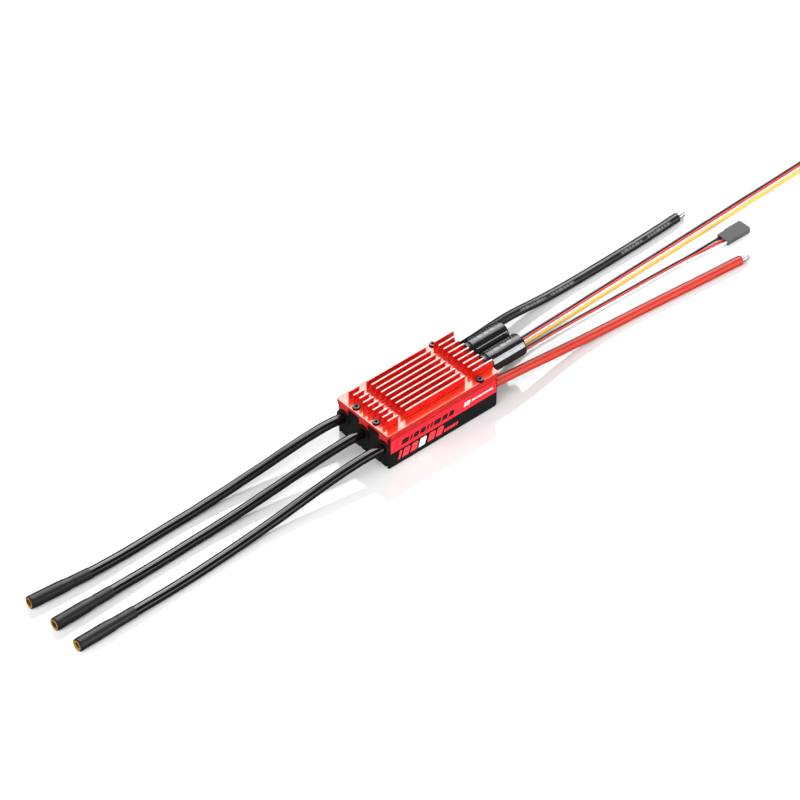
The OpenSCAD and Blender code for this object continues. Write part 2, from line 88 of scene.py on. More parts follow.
def smooth(points, step):
    """Points about step apart on one smooth curve through the given ones."""
    ends = [2 * points[0] - points[1], *points, 2 * points[-1] - points[-2]]
    path = []
    for a, b, c, d in zip(ends, ends[1:], ends[2:], ends[3:]):
        n = max(1, round((c - b).length / step))
        for k in range(n):
            t = k / n
            path.append(
                0.5 * (2 * b + (c - a) * t + (2 * a - 5 * b + 4 * c - d) * t * t
                       + (3 * b - a - 3 * c + d) * t ** 3)
            )
    return path + [points[-1]]


def path_length(path):
    return sum((b - a).length for a, b in zip(path, path[1:]))


def frames(path):
    """(centre, sideways, upwards) at each point of a path."""
    found = []
    for i, p in enumerate(path):
        ahead = (path[min(i + 1, len(path) - 1)] - path[max(i - 1, 0)]).normalized()
        side = UP.cross(ahead).normalized()
        found.append((p, side, ahead.cross(side)))
    return found


def circle(sides, turn=0.0):
    """Unit circle as (cosine, sine) pairs."""
    angles = [2 * math.pi * (j + turn) / sides for j in range(sides)]
    return [(math.cos(a), math.sin(a)) for a in angles]


def add_rings(bm, rings, capped=True, material=0):
    """Joins rings of points, all with the same number of points, by rows of quads."""
    rows = [[bm.verts.new(p) for p in ring] for ring in rings]
    n = len(rows[0])
    made = []
    for low, high in zip(rows, rows[1:]):
        for j in range(n):
            k = (j + 1) % n
            made.append(bm.faces.new((low[j], low[k], high[k], high[j])))
    if capped:
        made.append(bm.faces.new(list(reversed(rows[0]))))
        made.append(bm.faces.new(rows[-1]))
    for face in made:
        face.material_index = material
    return rows


def new_object(name, bm, materials):
    mesh = bpy.data.meshes.new(name)
    bm.to_mesh(mesh)
    bm.free()
    for material in materials:
        mesh.materials.append(material)
    made = bpy.data.objects.new(name, mesh)
    bpy.context.scene.collection.objects.link(made)
    return made


def new_piece(name, bm, materials, sharp=40):
    """A piece from bm, with its faces turned outwards and edges above sharp degrees marked."""
    bmesh.ops.recalc_face_normals(bm, faces=bm.faces)
    limit = math.radians(sharp)
    for edge in bm.edges:
        edge.smooth = len(edge.link_faces) == 2 and edge.calc_face_angle(0) < limit
    for face in bm.faces:
        face.smooth = True
    piece = new_object(name, bm, materials)
    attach(piece, "root")
    return piece


# ---- Procedural materials ----


class Paint:
    """A material under construction: one Principled shader and the nodes that feed it."""

    def __init__(self, name, color, roughness, metallic=0.0, **sockets):
        self.made = bpy.data.materials.new(name)
        self.made.use_nodes = True
        self.tree = self.made.node_tree
        self.shader = self.tree.nodes["Principled BSDF"]
        self.color = color
        self.shader.inputs["Base Color"].default_value = (*color, 1)
        self.shader.inputs["Roughness"].default_value = roughness
        self.shader.inputs["Metallic"].default_value = metallic
        for socket, value in sockets.items():
            self.shader.inputs[socket.replace("_", " ")].default_value = value
        self.place = self.tree.nodes.new("ShaderNodeTexCoord").outputs["Object"]
        self.normal = None

    def node(self, kind, settings=None, **inputs):
        made = self.tree.nodes.new("ShaderNode" + kind)
        for key, value in (settings or {}).items():
            setattr(made, key, value)
        for key, value in inputs.items():
            self.feed(made.inputs[key.replace("_", " ")], value)
        return made

    def feed(self, socket, value):
        if isinstance(value, bpy.types.NodeSocket):
            self.tree.links.new(value, socket)
        else:
            socket.default_value = value

    def noise(self, size, detail=3.0, stretch=(1, 1, 1), distortion=0.0):
        """Noise from 0 to 1 whose features are about size metres across."""
        place = self.node("Mapping", Vector=self.place, Scale=stretch).outputs[0]
        made = self.node("TexNoise", Vector=place, Scale=1 / size, Detail=detail,
                         Distortion=distortion)
        return made.outputs[0]

    def place_on(self, axis):
        """Place along X, Y or Z, for axis 0, 1 or 2."""
        return self.node("SeparateXYZ", Vector=self.place).outputs[axis]

    def ramp(self, value, start, end, low=0.0, high=1.0):
        """value from start to end, mapped onto low to high and clamped."""
        made = self.node("MapRange", Value=value)
        for key, number in (("From Min", start), ("From Max", end), ("To Min", low),
                            ("To Max", high)):
            made.inputs[key].default_value = number
        return made.outputs[0]

    def math(self, operation, a, b):
        made = self.node("Math", {"operation": operation})
        self.feed(made.inputs[0], a)
        self.feed(made.inputs[1], b)
        return made.outputs[0]

    def mix(self, share, a, b):
        """Colour a where share is 0 and colour b where it is 1."""
        made = self.node("Mix", {"data_type": "RGBA"})
        self.feed(made.inputs["Factor"], share)
        for socket, value in ((made.inputs[6], a), (made.inputs[7], b)):
            self.feed(socket, (*value, 1) if isinstance(value, tuple) else value)
        return made.outputs[2]

    def tint(self, share, other):
        """Lets the base colour drift towards other where share is 1."""
        base = self.shader.inputs["Base Color"]
        now = base.links[0].from_socket if base.is_linked else tuple(base.default_value[:3])
        self.feed(base, self.mix(share, now, other))

    def rough(self, share, low, high):
        self.feed(self.shader.inputs["Roughness"], self.ramp(share, 0.25, 0.75, low, high))

    def bump(self, height, depth, strength=1.0):
        """Raises the surface by up to depth metres where height is 1."""
        made = self.node("Bump", Height=height, Distance=depth, Strength=strength)
        if self.normal:
            self.feed(made.inputs["Normal"], self.normal)
        self.normal = made.outputs[0]
        self.feed(self.shader.inputs["Normal"], self.normal)


def scaled(color, k):
    return tuple(min(1.0, c * k) for c in color)


FIN_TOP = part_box("heatsink")[1].z
HEAD_ABOVE_PLATE = 1 * MM
PLATE_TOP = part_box("cover_screws")[1].z - HEAD_ABOVE_PLATE


def anodised_red():
    """Dyed aluminium, with painted light: a painted highlight on the fin tops, painted shade at
    the roots of the fins, and a plate top tinted so that its highlight reads peach.
    """
    paint = Paint("anodised_red", (0.84, 0.016, 0.012), 0.28, 0.5, Coat_Weight=1.0,
                  Coat_Roughness=0.08, Coat_IOR=1.55)
    cloud = paint.noise(9 * MM, 3)
    grain = paint.noise(0.35 * MM, 2, (0.06, 1, 1))
    paint.tint(paint.ramp(cloud, 0.35, 0.8), (0.72, 0.01, 0.01))
    z = paint.place_on(2)
    # Painted highlight: the very tops of the fins drift to a pale, untinted metal so they read as
    # bright lines.
    top = paint.ramp(z, FIN_TOP - 0.05 * MM, FIN_TOP - 0.02 * MM)
    paint.tint(top, (0.19, 0.17, 0.145))
    # Painted shade: a thin dark band low on the fins, where they meet the plate.
    root = paint.math("MULTIPLY", paint.ramp(z, PLATE_TOP + 0.01 * MM, PLATE_TOP + 0.06 * MM),
                      paint.ramp(z, PLATE_TOP + 0.42 * MM, PLATE_TOP + 0.25 * MM))
    paint.tint(root, (0.12, 0.002, 0.002))
    # Painted highlight: the plate top and its top edge are tinted towards orange so their
    # reflection reads peach.
    painted_deck_highlight = paint.math("MULTIPLY", paint.ramp(z, PLATE_TOP - 0.16 * MM, PLATE_TOP - 0.1 * MM),
                      paint.ramp(z, PLATE_TOP + 0.04 * MM, PLATE_TOP + 0.01 * MM))
    paint.tint(painted_deck_highlight, (0.82, 0.05, 0.018))
    paint.rough(grain, 0.22, 0.34)
    paint.bump(grain, 0.0007 * MM, 0.6)
    paint.bump(paint.noise(0.08 * MM, 2), 0.0015 * MM, 0.5)
    return paint.made


def black_plastic(name, color, roughness, grain_size=0.22, depth=0.006):
    """Moulded plastic with a fine spark-eroded grain and faint flow marks."""
    paint = Paint(name, color, roughness, Specular_IOR_Level=0.3)
    grain = paint.noise(grain_size * MM, 4)
    flow = paint.noise(14 * MM, 3, (0.5, 1, 1), 0.6)
    paint.tint(paint.ramp(flow, 0.35, 0.75, 0, 0.6), scaled(color, 1.7))
    paint.tint(paint.ramp(grain, 0.62, 0.78, 0, 0.35), scaled(color, 2.4))
    paint.rough(flow, roughness - 0.05, roughness + 0.08)
    paint.bump(grain, depth * MM)
    return paint.made


def silicone(name, color, roughness, coat):
    """Silicone rubber insulation, drawn along X, with the strands faintly showing through."""
    paint = Paint(name, color, roughness, Specular_IOR_Level=0.5, Coat_Weight=coat,
                  Coat_Roughness=0.08)
    drawn = paint.noise(1.1 * MM, 3, (0.12, 1, 1))
    dust = paint.noise(0.5 * MM, 5)
    paint.tint(paint.ramp(drawn, 0.35, 0.75, 0, 0.6), scaled(color, 1.35))
    paint.tint(paint.ramp(dust, 0.66, 0.8, 0, 0.3), scaled(color, 2.6))
    paint.rough(drawn, roughness - 0.04, roughness + 0.06)
    paint.bump(drawn, 0.018 * MM)
    paint.bump(paint.noise(0.12 * MM, 2), 0.003 * MM, 0.6)
    return paint.made


def shrunk_tube():
    """Heat-shrink tube: satin polyolefin with lengthwise draw lines."""
    paint = Paint("shrunk_tube", (0.008, 0.008, 0.0082), 0.38, Specular_IOR_Level=0.5)
    drawn = paint.noise(0.9 * MM, 4, (0.08, 1, 1))
    scuff = paint.noise(0.35 * MM, 5)
    paint.tint(paint.ramp(drawn, 0.4, 0.75, 0, 0.7), (0.01, 0.01, 0.0105))
    paint.tint(paint.ramp(scuff, 0.64, 0.8, 0, 0.3), (0.03, 0.03, 0.03))
    paint.rough(scuff, 0.34, 0.46)
    paint.bump(drawn, 0.02 * MM)
    paint.bump(paint.noise(0.1 * MM, 3), 0.004 * MM)
    return paint.made


def plated(name, color, roughness, stain, size=1.2, metallic=1.0, bore_shade_x=None):
    """Plated metal with faint stains and turning marks. Inside a bore that starts at the given x,
    the colour is painted darker, as the shade in the bore.
    """
    paint = Paint(name, color, roughness, metallic)
    cloud = paint.noise(size * MM, 4)
    lines = paint.noise(0.09 * MM, 2, (1, 0.2, 0.2))
    paint.tint(paint.ramp(cloud, 0.45, 0.8, 0, 0.7), stain)
    # Painted shade: past the start of the bore, its inside is tinted a darker orange.
    if bore_shade_x is not None:
        paint.tint(paint.ramp(paint.place_on(0), bore_shade_x, bore_shade_x + 0.5 * MM), (0.3, 0.12, 0.015))
    paint.rough(lines, roughness - 0.06, roughness + 0.1)
    paint.bump(lines, 0.002 * MM)
    return paint.made


def vinyl(name, color):
    """Glossy extruded vinyl of the thin wires."""
    paint = Paint(name, color, 0.3, Specular_IOR_Level=0.5, Coat_Weight=0.2, Coat_Roughness=0.2)
    drawn = paint.noise(0.5 * MM, 3, (0.1, 1, 1))
    paint.tint(paint.ramp(drawn, 0.4, 0.8, 0, 0.5), scaled(color, 0.78))
    paint.tint(paint.ramp(paint.noise(0.3 * MM, 4), 0.66, 0.8, 0, 0.15), (0.3, 0.29, 0.28))
    paint.rough(drawn, 0.24, 0.38)
    paint.bump(drawn, 0.008 * MM)
    return paint.made


def film(name, color):
    """Printed adhesive film, with a faint orange-peel surface."""
    paint = Paint(name, color, 0.36, Specular_IOR_Level=0.5, Coat_Weight=0.35,
                  Coat_Roughness=0.25)
    cloud = paint.noise(5 * MM, 3)
    peel = paint.noise(0.45 * MM, 3)
    paint.tint(paint.ramp(cloud, 0.4, 0.8, 0, 0.5), scaled(color, 0.86))
    paint.rough(peel, 0.31, 0.42)
    paint.bump(peel, 0.004 * MM)
    return paint.made


def ink(name, color):
    """Screen-printed ink with a slightly broken edge tone."""
    paint = Paint(name, color, 0.42, Specular_IOR_Level=0.4)
    speck = paint.noise(0.25 * MM, 4)
    paint.tint(paint.ramp(speck, 0.55, 0.8, 0, 0.35), scaled(color, 0.7))
    paint.rough(speck, 0.36, 0.5)
    paint.bump(speck, 0.003 * MM)
    return paint.made


def shrunk_sleeve(name, color):
    """Glossy sleeve of a capacitor."""
    paint = Paint(name, color, 0.24, Specular_IOR_Level=0.4, Coat_Weight=0.3, Coat_Roughness=0.06)
    drawn = paint.noise(1.6 * MM, 3, (0.4, 1, 1))
    paint.tint(paint.ramp(drawn, 0.4, 0.8, 0, 0.5), scaled(color, 1.4))
    paint.rough(drawn, 0.14, 0.28)
    paint.bump(drawn, 0.012 * MM)
    return paint.made


def speckled(name, color, other, roughness, size=0.6, metallic=0.0):
    """Plain material of an inner piece, with two tones mixed by noise."""
    paint = Paint(name, color, roughness, metallic)
    speck = paint.noise(size * MM, 4)
    paint.tint(paint.ramp(speck, 0.45, 0.7), other)
    paint.rough(speck, max(0.05, roughness - 0.08), roughness + 0.1)
    paint.bump(speck, 0.004 * MM)
    return paint.made


RED = anodised_red()
CASE = black_plastic("case_plastic", (0.0045, 0.0045, 0.0046), 0.42)
PLUG = black_plastic("plug_plastic", (0.07, 0.07, 0.071), 0.5, 0.18, 0.005)
RUBBER = black_plastic("grommet_rubber", (0.012, 0.012, 0.012), 0.6, 0.3, 0.008)
SCREW = plated("black_oxide", (0.11, 0.115, 0.12), 0.26, (0.07, 0.072, 0.075), 0.7)
GOLD = plated("gold_plating", (1.0, 0.62, 0.14), 0.22, (0.9, 0.48, 0.08), metallic=0.7)
SOCKET_GOLD = plated("socket_gold", (1.0, 0.62, 0.14), 0.22, (0.9, 0.48, 0.08), metallic=0.7,
                     bore_shade_x=-223.95 * MM)
TIN = plated("tinned_copper", (0.85, 0.85, 0.87), 0.22, (0.62, 0.62, 0.64), 0.5, 0.88)
ALUMINIUM = plated("drawn_aluminium", (0.8, 0.81, 0.82), 0.26, (0.68, 0.69, 0.7), 1.5)
BLACK_SILICONE = silicone("black_silicone", (0.0015, 0.0015, 0.0016), 0.16, 0.5)
NEGATIVE_SILICONE = silicone("negative_silicone", (0.006, 0.006, 0.0062), 0.33, 0.2)
RED_SILICONE = silicone("red_silicone", (0.365, 0.018, 0.006), 0.42, 0.1)
SHRINK = shrunk_tube()
SLEEVE = shrunk_sleeve("black_sleeve", (0.008, 0.008, 0.009))
STRIPE = shrunk_sleeve("sleeve_stripe", (0.13, 0.135, 0.14))
# Light grey of the sleeve band: a polarity band, and partly a painted reflection.
BAND_AND_REFLECTION = shrunk_sleeve("sleeve_band_and_reflection", (0.29, 0.295, 0.3))
LABEL = film("red_film", (0.74, 0.008, 0.02))
RED_INK = ink("red_ink", (0.76, 0.03, 0.045))
WHITE_INK = ink("white_ink", (0.86, 0.86, 0.84))
BLACK_INK = ink("black_ink", (0.008, 0.008, 0.009))
LEAD_INK = ink("lead_ink", (0.12, 0.121, 0.125))
VINYLS = {
    "black": vinyl("black_vinyl", (0.003, 0.003, 0.0034)),
    "red": vinyl("red_vinyl", (0.68, 0.006, 0.006)),
    "white": vinyl("white_vinyl", (0.85, 0.85, 0.83)),
    "yellow": vinyl("yellow_vinyl", (0.9, 0.46, 0.025)),
}
BOARD = speckled("solder_mask", (0.012, 0.075, 0.03), (0.02, 0.11, 0.045), 0.35)
CHIP = speckled("chip_epoxy", (0.02, 0.02, 0.021), (0.035, 0.035, 0.036), 0.5, 0.2)
SHUNT = speckled("shunt_metal", (0.5, 0.48, 0.44), (0.6, 0.56, 0.5), 0.35, 0.5, 1.0)
CERAMIC = speckled("fired_ceramic", (0.42, 0.3, 0.17), (0.5, 0.38, 0.22), 0.45, 0.3)
FERRITE = speckled("coil_ferrite", (0.05, 0.05, 0.053), (0.08, 0.08, 0.083), 0.6, 0.3)
PAD = speckled("thermal_pad", (0.35, 0.38, 0.43), (0.42, 0.45, 0.5), 0.8, 0.5)


# ---- Thick leads ----

WIRE_START = 29.5
PORT_Z = 11.8
PHASE_PITCH = 14.6
BATTERY_Y = 15.2
PHASE_D = 5.2 * MM
BATTERY_D = 5 * MM
TIPS = in_mm([(-224, 21, 3.3), (-224, 1.8, 3.3), (-224.5, -15.9, 3.3)])
HEADINGS = [5, 0, 0]
SOCKET_LEN = 14 * MM
SOLDER_END = 24 * MM
SHRINK_START = 0.1 * MM
SHRINK_END = 34 * MM
SHRINK_R = 3.3 * MM


def tip_axis(i):
    """Direction from the mouth of bullet socket i back along its lead."""
    turn = math.radians(HEADINGS[i])
    return Vector((math.cos(turn), -math.sin(turn), 0))


PHASE_BENDS = [
    [(-46, 15.8, 11.5), (-58, 16.5, 10.4), (-70, 17, 8.9), (-82, 17.4, 7.2), (-94, 17.9, 5.7),
     (-106, 18.2, 4.4), (-118, 18.4, 3.5), (-130, 18.4, 2.9), (-142, 18.4, 2.7),
     (-154, 18.2, 2.6), (-166, 17.9, 2.7), (-178, 17.8, 3)],
    [(-46, 0.6, 11.5), (-58, 1.2, 10.4), (-70, 1.7, 8.9), (-82, 2.2, 7.2), (-94, 2.6, 5.7),
     (-106, 2.9, 4.4), (-118, 3, 3.5), (-130, 3, 2.9), (-142, 2.9, 2.7), (-154, 2.6, 2.6),
     (-166, 2.3, 2.7), (-178, 2, 3)],
    [(-46, -14, 11.5), (-58, -13.5, 10.4), (-70, -13.2, 8.9), (-82, -13.1, 7.2),
     (-94, -13.2, 5.7), (-106, -13.3, 4.4), (-118, -13.6, 3.5), (-130, -14, 2.9),
     (-142, -14.5, 2.7), (-154, -15, 2.6), (-166, -15.4, 2.7), (-178, -15.7, 3)],
]
NEGATIVE_ROUTE = in_mm([
    (WIRE_START, BATTERY_Y, PORT_Z), (37, BATTERY_Y, PORT_Z), (46, 16, 11.3), (58, 17.8, 9.8),
    (70, 20.1, 7.9), (82, 21.9, 6), (94, 22.5, 4.4), (106, 22.7, 3.3), (118, 22.9, 2.7),
    (130, 23, 2.5), (142, 23.1, 2.5), (154, 23.3, 2.5), (166, 23.6, 2.5), (178, 24, 2.5),
    (189.5, 24.5, 2.5), (201.5, 25.2, 2.5)])
POSITIVE_ROUTE = in_mm([
    (WIRE_START, -BATTERY_Y, PORT_Z), (37, -BATTERY_Y, PORT_Z), (46, -15.5, 11.3),
    (58, -15.3, 9.8), (70, -14.8, 7.9), (82, -14.3, 6), (94, -14, 4.4), (106, -14, 3.3),
    (118, -14.4, 2.7), (130, -15.1, 2.5), (142, -16, 2.5), (154, -17, 2.5), (166, -18, 2.5),
    (178, -19, 2.5), (190, -19.9, 2.5), (202, -20.9, 2.5)])


def phase_route(i):
    y = (1 - i) * PHASE_PITCH
    ends = [TIPS[i] + s * tip_axis(i) for s in (SHRINK_END, SOLDER_END, SOCKET_LEN)]
    start = [(-WIRE_START, y, PORT_Z), (-36, y, PORT_Z)]
    return in_mm(start + PHASE_BENDS[i]) + ends


LEAD_STEP = 1.6 * MM
FINE_STEP = 0.7 * MM
END_STEPS = 6
PRINT_SPANS = [(0.33, 0.43), (0.45, 0.54), (0.725, 0.815), (0.835, 0.925)]


def printed(k, n, j, sides):
    """Is face j of row k on a dash of the printing along a lead?"""
    on_row = sides * 0.33 < j < sides * 0.41
    return on_row and any(a < k / n < b for a, b in PRINT_SPANS) and (k * 7) % 11 > 2


def thick_lead(name, route, d, material, round_end, marked=False):
    """A lead as one tube along its route. round_end is how far its cut end is rounded off."""
    path = smooth(route, FINE_STEP if marked else LEAD_STEP)
    section = circle(48 if marked else 32)
    rings = []
    for centre, side, up in frames(path):
        r = d / 2 * (1 - 0.006 * abs(noise.noise(centre * 180)))
        rings.append([centre + r * (c * side + s * up) for c, s in section])
    if round_end:
        centre, side, up = frames(path)[-1]
        ahead = (path[-1] - path[-2]).normalized()
        rings.pop()
        for k in range(END_STEPS + 1):
            turn = math.pi / 2 * k / END_STEPS
            at = centre - ahead * round_end * (1 - math.sin(turn))
            r = d / 2 - round_end * (1 - math.cos(turn))
            rings.append([at + r * (c * side + s * up) for c, s in section])
    bm = bmesh.new()
    rows = add_rings(bm, rings)
    if marked:
        n = len(section)
        for k, (low, high) in enumerate(zip(rows, rows[1:])):
            for j in range(n):
                if printed(k, len(rows), j, n):
                    face = bm.faces.get((low[j], low[(j + 1) % n], high[(j + 1) % n], high[j]))
                    face.material_index = 1
    return new_piece(name, bm, [material, LEAD_INK] if marked else [material], 50), path


LEADS = {}
for i in range(3):
    lead, path = thick_lead(f"motor_lead_{i + 1}", phase_route(i), PHASE_D, BLACK_SILICONE, 0)
    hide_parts(f"phase_wire_{i + 1}")
    LEADS[lead.name] = (lead, path)
for name, route, material, node, slot in (
        ("battery_lead_negative", NEGATIVE_ROUTE, NEGATIVE_SILICONE, "battery_wire_negative",
         "wire_negative"),
        ("battery_lead_positive", POSITIVE_ROUTE, RED_SILICONE, "battery_wire_positive",
         "wire_red")):
    lead, path = thick_lead(name, route, BATTERY_D, material, 0.7 * MM,
                            name == "battery_lead_negative")
    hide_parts(node)
    LEADS[name] = (lead, path)


# ---- Bullet ends of the motor leads ----

SHRINK_PROFILE = [
    (0.1, 2.95), (0.25, 3.16), (0.8, 3.3), (6, 3.28), (10, 3.3), (14, 3.29), (16.5, 3.3),
    (19, 3.2), (21.3, 3.02), (22.8, 2.88), (23.8, 2.83), (25, 2.92), (27, 2.9), (30, 2.88),
    (33, 2.88), (33.8, 2.88), (34, 2.82)]


def shrink_tube(i):
    """Heat-shrink tube over bullet socket i, a little uneven where it follows the solder joint."""
    back = tip_axis(i)
    side = UP.cross(back).normalized()
    section = circle(48)
    rings = []
    stations = smooth([Vector((s * MM, r * MM, 0)) for s, r in SHRINK_PROFILE], FINE_STEP)
    for station in stations:
        s, r0 = station.x, station.y
        at = TIPS[i] + s * back
        loose = 0.05 * MM * math.exp(-(((s - SOLDER_END) / (5 * MM)) ** 2))
        ring = []
        for c, z in section:
            wave = noise.noise(Vector((s * 160, 2.2 * c, 2.2 * z + 7 * i)))
            r = r0 - 0.03 * MM * abs(wave) + loose * wave
            ring.append(at + min(r, SHRINK_R) * (c * side + z * UP))
        rings.append(ring)
    inner = PHASE_D / 2 + 0.01 * MM
    for s in (SHRINK_END, SHRINK_START):
        rings.append([TIPS[i] + s * back + inner * (c * side + z * UP) for c, z in section])
    rings.append(rings[0])
    bm = bmesh.new()
    add_rings(bm, rings, capped=False)
    bmesh.ops.remove_doubles(bm, verts=bm.verts, dist=1e-7)
    piece = new_piece(f"shrink_tube_{i + 1}", bm, [SHRINK], 50)
    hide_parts(f"heat_shrink_{i + 1}")
    return piece


SHRINK_TUBES = [shrink_tube(i) for i in range(3)]


# ---- Tinned ends of the battery leads ----

TINNED_LEN = 4.5 * MM
TINNED_R = 1.75 * MM
TINNED_STEPS = 26
STRANDS = 14


def tinned_end(name, path, node):
    """Twisted strands soaked in solder, with a domed tip."""
    start = path[-1]
    ahead = (path[-1] - path[-2]).normalized()
    side = UP.cross(ahead).normalized()
    rings = []
    for k in range(TINNED_STEPS + 1):
        t = k / TINNED_STEPS
        s = t * TINNED_LEN
        dome = max(0.0, (t - 0.82) / 0.18)
        shrink = math.sqrt(max(0.0, 1 - 0.55 * dome * dome))
        ring = []
        for j in range(STRANDS * 6):
            a = 2 * math.pi * j / (STRANDS * 6)
            groove = 0.5 - 0.5 * math.cos(STRANDS * (a + 2.2 * t))
            blob = noise.noise(Vector((a, 900 * s, start.y * 90)))
            r = TINNED_R * (1 - 0.05 * groove * (1 - dome) - 0.05 * abs(blob)) * shrink
            ring.append(start + s * ahead + r * (math.cos(a) * side + math.sin(a) * UP))
        rings.append(ring)
    bm = bmesh.new()
    add_rings(bm, rings)
    piece = new_piece(name, bm, [TIN], 60)
    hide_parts(node)
    return piece


TINNED = {
    "battery_lead_negative": tinned_end("tinned_strands_negative",
                                        LEADS["battery_lead_negative"][1], "tinned_end_negative"),
    "battery_lead_positive": tinned_end("tinned_strands_positive",
                                        LEADS["battery_lead_positive"][1], "tinned_end_positive"),
}


# ---- Flat signal leads ----

PIN_PITCH = 2.54 * MM
FLAT_STEP = 1.5 * MM
IN_PLUG = 2 * MM
THROTTLE_ROUTE = in_mm([
    (26, 5.9, 7.9), (36, 5.9, 7.9), (45, 6.1, 7.1), (54, 6.4, 4.7), (63, 6.8, 2.3), (73, 7.4, 1),
    (84, 7.9, 0.75), (98, 8.3, 0.75), (112, 8.7, 0.75), (126, 9.2, 0.75), (140, 9.6, 0.75),
    (154, 10, 0.75), (168, 10.4, 0.75), (182, 10.8, 0.75), (196, 11.3, 0.75), (210, 11.8, 0.75),
    (224, 12.2, 0.75), (238, 12.7, 0.75), (252, 13.1, 0.75), (266, 13.6, 0.75), (280, 14.1, 0.75),
    (294, 14.6, 0.8), (306, 15, 1.1), (316, 15.2, 1.35), (322, 15.2, 1.35)])
PROGRAM_ROUTE = in_mm([
    (26, -1.6, 7.8), (36, -1.6, 7.8), (45, -1.2, 6.9), (54, -0.4, 4.7), (64, 0.8, 2.2),
    (76, 1.7, 0.9), (88, 1.8, 0.7), (100, 1.6, 0.7), (112, 1.3, 0.7), (124, 0.9, 0.7),
    (136, 0.6, 0.7), (148, 0.3, 0.7), (160, 0, 0.7), (172, -0.4, 0.7), (182, -0.9, 0.75),
    (191, -1.5, 0.9), (199, -2.2, 1.2), (205, -2.6, 1.35), (209, -2.6, 1.35)])


def flat_lead(name, route, colors, wire_d, fan_len):
    """Vinyl wires side by side, parting over fan_len metres until they reach the plug.
    The first colour lies on the +Y side."""
    path = smooth(route, FLAT_STEP)
    length = path_length(path)
    bm = bmesh.new()
    n = len(colors)
    for w, color in enumerate(colors):
        lane = (n - 1) / 2 - w
        rings = []
        walked = 0.0
        for i, (centre, side, up) in enumerate(frames(path)):
            walked += (path[i] - path[i - 1]).length if i else 0
            t = min(1.0, max(0.0, 1 - (length - IN_PLUG - walked) / fan_len))
            pitch = wire_d * 0.985 + (PIN_PITCH - wire_d) * t * t * (3 - 2 * t)
            middle = centre + lane * pitch * side
            rings.append([middle + wire_d / 2 * (c * side + s * up) for c, s in circle(14, 0.5)])
        add_rings(bm, rings, material=w)
    return new_piece(name, bm, [VINYLS[color] for color in colors], 50), path


THROTTLE_D = 1.45 * MM
PROGRAM_D = 1.3 * MM
throttle, throttle_path = flat_lead("throttle_wires", THROTTLE_ROUTE,
                                    ["black", "red", "white", "yellow"], THROTTLE_D, 14 * MM)
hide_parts("throttle_lead")
program, program_path = flat_lead("program_wires", PROGRAM_ROUTE, ["black", "red", "white"],
                                  PROGRAM_D, 26 * MM)
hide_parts("program_lead")


# ---- The free leads and their tinned ends, looked up; nothing more is done with them ----


for i in range(3):
    lead, path = LEADS[f"motor_lead_{i + 1}"]
for name, end in TINNED.items():
    lead, path = LEADS[name]


# ---- Capacitor sleeves ----

CAN_LEN = 25 * MM
SLEEVE_T = 0.2 * MM
SLEEVE_SIDES = 96
SLEEVE_STEP = 0.35
SLEEVE_PROFILE = [
    (-0.16, 4.8), (-0.2, 5), (-0.18, 5.4), (-0.02, 5.78), (0.25, 5.89), (1.3, 5.9), (1.65, 5.82),
    (2.0, 5.48), (2.3, 5.42), (2.6, 5.48), (2.95, 5.82), (3.3, 5.9), (24.6, 5.9), (25.0, 5.8),
    (25.18, 5.55), (25.2, 5.1), (25.14, 4.8)]
STRAIGHT_R = 5.8
PLAIN, DASHES, POLARITY_AND_REFLECTION = range(3)
# Where each sleeve's light band lies: a polarity band, partly a painted reflection, so it differs
# per sleeve.
BAND_AND_REFLECTION_SPANS = {1: (0.83, 0.93), 2: (0.74, 1.18)}


def sleeve_mark(t, a, band):
    """Material index at t along a sleeve and at angle a from its top."""
    if not 0.15 < t < 0.96:
        return PLAIN
    # The light band: polarity band, partly a painted reflection.
    if band[0] < a < band[1]:
        return POLARITY_AND_REFLECTION
    fine_row = -0.5 < a < -0.22 and math.sin(t * 90) > -0.3
    coarse_row = -0.12 < a < 0.1 and 0.25 < t < 0.75 and math.sin(t * 37) > -0.5
    return DASHES if fine_row or coarse_row else PLAIN


def capacitor_sleeve(i):
    """Shrunk sleeve with plain dashes and a light lengthwise band, slightly wavy. The band is a
    polarity band and partly a painted reflection.
    """
    low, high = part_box(f"capacitor_{i}")
    middle = (low + high) / 2
    stations = []
    for (s0, r0), (s1, r1) in zip(SLEEVE_PROFILE, SLEEVE_PROFILE[1:]):
        n = max(1, round((s1 - s0) / SLEEVE_STEP))
        stations += [(s0 + (s1 - s0) * k / n, r0 + (r1 - r0) * k / n) for k in range(n)]
    stations.append(SLEEVE_PROFILE[-1])
    rings = []
    for s, r in stations:
        ring = []
        for j in range(SLEEVE_SIDES):
            a = 2 * math.pi * j / SLEEVE_SIDES
            wave = noise.noise(Vector((s * 0.22, 2 * math.cos(a), 2 * math.sin(a) + i)))
            rr = (r - 0.02 * abs(wave)) * MM
            ring.append(Vector((low.x + s * MM, middle.y - rr * math.sin(a),
                                middle.z + rr * math.cos(a))))
        rings.append(ring)
    bm = bmesh.new()
    rows = add_rings(bm, rings, capped=False)
    for k, (s, r) in enumerate(stations[:-1]):
        for j, vert in enumerate(rows[k]):
            a = 2 * math.pi * (j + 0.5) / SLEEVE_SIDES
            a = a - 2 * math.pi if a > math.pi else a
            mark = sleeve_mark(s * MM / CAN_LEN, a, BAND_AND_REFLECTION_SPANS[i]) if r > STRAIGHT_R else PLAIN
            if mark != PLAIN:
                face = next(f for f in vert.link_faces
                            if rows[k][(j + 1) % SLEEVE_SIDES] in f.verts
                            and rows[k + 1][j] in f.verts)
                face.material_index = mark
    piece = new_piece(f"shrunk_sleeve_{i}", bm, [SLEEVE, STRIPE, BAND_AND_REFLECTION], 50)
    shell = piece.modifiers.new("wall", "SOLIDIFY")
    shell.thickness = SLEEVE_T * 0.7
    shell.offset = -1
    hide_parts(f"capacitor_sleeve_{i}")


